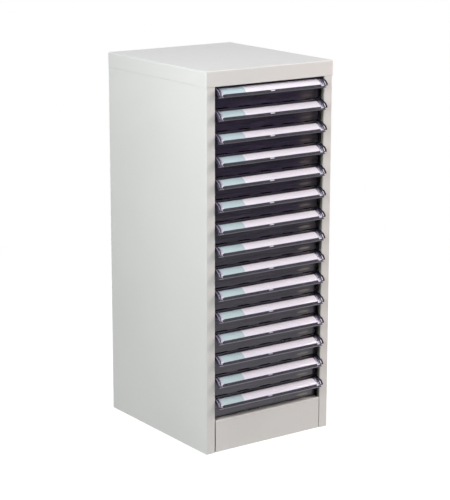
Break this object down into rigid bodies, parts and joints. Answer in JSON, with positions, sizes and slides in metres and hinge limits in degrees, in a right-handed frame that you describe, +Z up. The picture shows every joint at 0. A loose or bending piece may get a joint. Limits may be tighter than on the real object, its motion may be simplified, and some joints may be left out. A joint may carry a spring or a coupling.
{
  "type": "microscope slide cabinet",
  "caption": "Upright steel cabinet with a column of shallow smoke-plastic slide trays, each pulled out by a curved hood that carries a label card under a clear cover.",
  "frame": {"origin": "centre of the base, on the floor, midway between the carcass's sides and between its front and back faces", "axes": "+X to the right seen from the front, +Y from the front to the back, +Z up"},
  "size_m": [0.28, 0.335, 0.7],
  "materials": {
    "painted_steel": "satin powder coat, pale grey",
    "rack_steel": "satin, grey",
    "screw_steel": "zinc plated",
    "tray_plastic": "glossy dark smoke",
    "cover_plastic": "clear",
    "label_card": "smooth card, white with a pale green end"
  },
  "bodies": {
    "cabinet": {"top_cap": "painted_steel", "left_side_panel": "painted_steel", "right_side_panel": "painted_steel", "back_panel": "painted_steel", "base_pan": "painted_steel", "plinth_panel": "painted_steel", "left_runner_rack": "rack_steel", "right_runner_rack": "rack_steel", "left_ledges": "rack_steel", "right_ledges": "rack_steel", "front_tie_rail": "rack_steel", "rear_stop_rail": "rack_steel", "back_screws": "screw_steel", "rack_screws": "screw_steel"},
    "drawer_01": {"tray_01": "tray_plastic", "label_cover_01": "cover_plastic", "label_card_01": "label_card"},
    "drawer_02": {"tray_02": "tray_plastic", "label_cover_02": "cover_plastic", "label_card_02": "label_card"},
    "drawer_03": {"tray_03": "tray_plastic", "label_cover_03": "cover_plastic", "label_card_03": "label_card"},
    "drawer_04": {"tray_04": "tray_plastic", "label_cover_04": "cover_plastic", "label_card_04": "label_card"},
    "drawer_05": {"tray_05": "tray_plastic", "label_cover_05": "cover_plastic", "label_card_05": "label_card"},
    "drawer_06": {"tray_06": "tray_plastic", "label_cover_06": "cover_plastic", "label_card_06": "label_card"},
    "drawer_07": {"tray_07": "tray_plastic", "label_cover_07": "cover_plastic", "label_card_07": "label_card"},
    "drawer_08": {"tray_08": "tray_plastic", "label_cover_08": "cover_plastic", "label_card_08": "label_card"},
    "drawer_09": {"tray_09": "tray_plastic", "label_cover_09": "cover_plastic", "label_card_09": "label_card"},
    "drawer_10": {"tray_10": "tray_plastic", "label_cover_10": "cover_plastic", "label_card_10": "label_card"},
    "drawer_11": {"tray_11": "tray_plastic", "label_cover_11": "cover_plastic", "label_card_11": "label_card"},
    "drawer_12": {"tray_12": "tray_plastic", "label_cover_12": "cover_plastic", "label_card_12": "label_card"},
    "drawer_13": {"tray_13": "tray_plastic", "label_cover_13": "cover_plastic", "label_card_13": "label_card"},
    "drawer_14": {"tray_14": "tray_plastic", "label_cover_14": "cover_plastic", "label_card_14": "label_card"},
    "drawer_15": {"tray_15": "tray_plastic", "label_cover_15": "cover_plastic", "label_card_15": "label_card"}
  },
  "joints": [
    {"name": "drawer_01_slide", "type": "slide", "parent": "cabinet", "child": "drawer_01", "axis": [0, -1, 0], "range_m": [0, 0.22]},
    {"name": "drawer_02_slide", "type": "slide", "parent": "cabinet", "child": "drawer_02", "axis": [0, -1, 0], "range_m": [0, 0.22]},
    {"name": "drawer_03_slide", "type": "slide", "parent": "cabinet", "child": "drawer_03", "axis": [0, -1, 0], "range_m": [0, 0.22]},
    {"name": "drawer_04_slide", "type": "slide", "parent": "cabinet", "child": "drawer_04", "axis": [0, -1, 0], "range_m": [0, 0.22]},
    {"name": "drawer_05_slide", "type": "slide", "parent": "cabinet", "child": "drawer_05", "axis": [0, -1, 0], "range_m": [0, 0.22]},
    {"name": "drawer_06_slide", "type": "slide", "parent": "cabinet", "child": "drawer_06", "axis": [0, -1, 0], "range_m": [0, 0.22]},
    {"name": "drawer_07_slide", "type": "slide", "parent": "cabinet", "child": "drawer_07", "axis": [0, -1, 0], "range_m": [0, 0.22]},
    {"name": "drawer_08_slide", "type": "slide", "parent": "cabinet", "child": "drawer_08", "axis": [0, -1, 0], "range_m": [0, 0.22]},
    {"name": "drawer_09_slide", "type": "slide", "parent": "cabinet", "child": "drawer_09", "axis": [0, -1, 0], "range_m": [0, 0.22]},
    {"name": "drawer_10_slide", "type": "slide", "parent": "cabinet", "child": "drawer_10", "axis": [0, -1, 0], "range_m": [0, 0.22]},
    {"name": "drawer_11_slide", "type": "slide", "parent": "cabinet", "child": "drawer_11", "axis": [0, -1, 0], "range_m": [0, 0.22]},
    {"name": "drawer_12_slide", "type": "slide", "parent": "cabinet", "child": "drawer_12", "axis": [0, -1, 0], "range_m": [0, 0.22]},
    {"name": "drawer_13_slide", "type": "slide", "parent": "cabinet", "child": "drawer_13", "axis": [0, -1, 0], "range_m": [0, 0.22]},
    {"name": "drawer_14_slide", "type": "slide", "parent": "cabinet", "child": "drawer_14", "axis": [0, -1, 0], "range_m": [0, 0.22]},
    {"name": "drawer_15_slide", "type": "slide", "parent": "cabinet", "child": "drawer_15", "axis": [0, -1, 0], "range_m": [0, 0.22]}
  ]
}
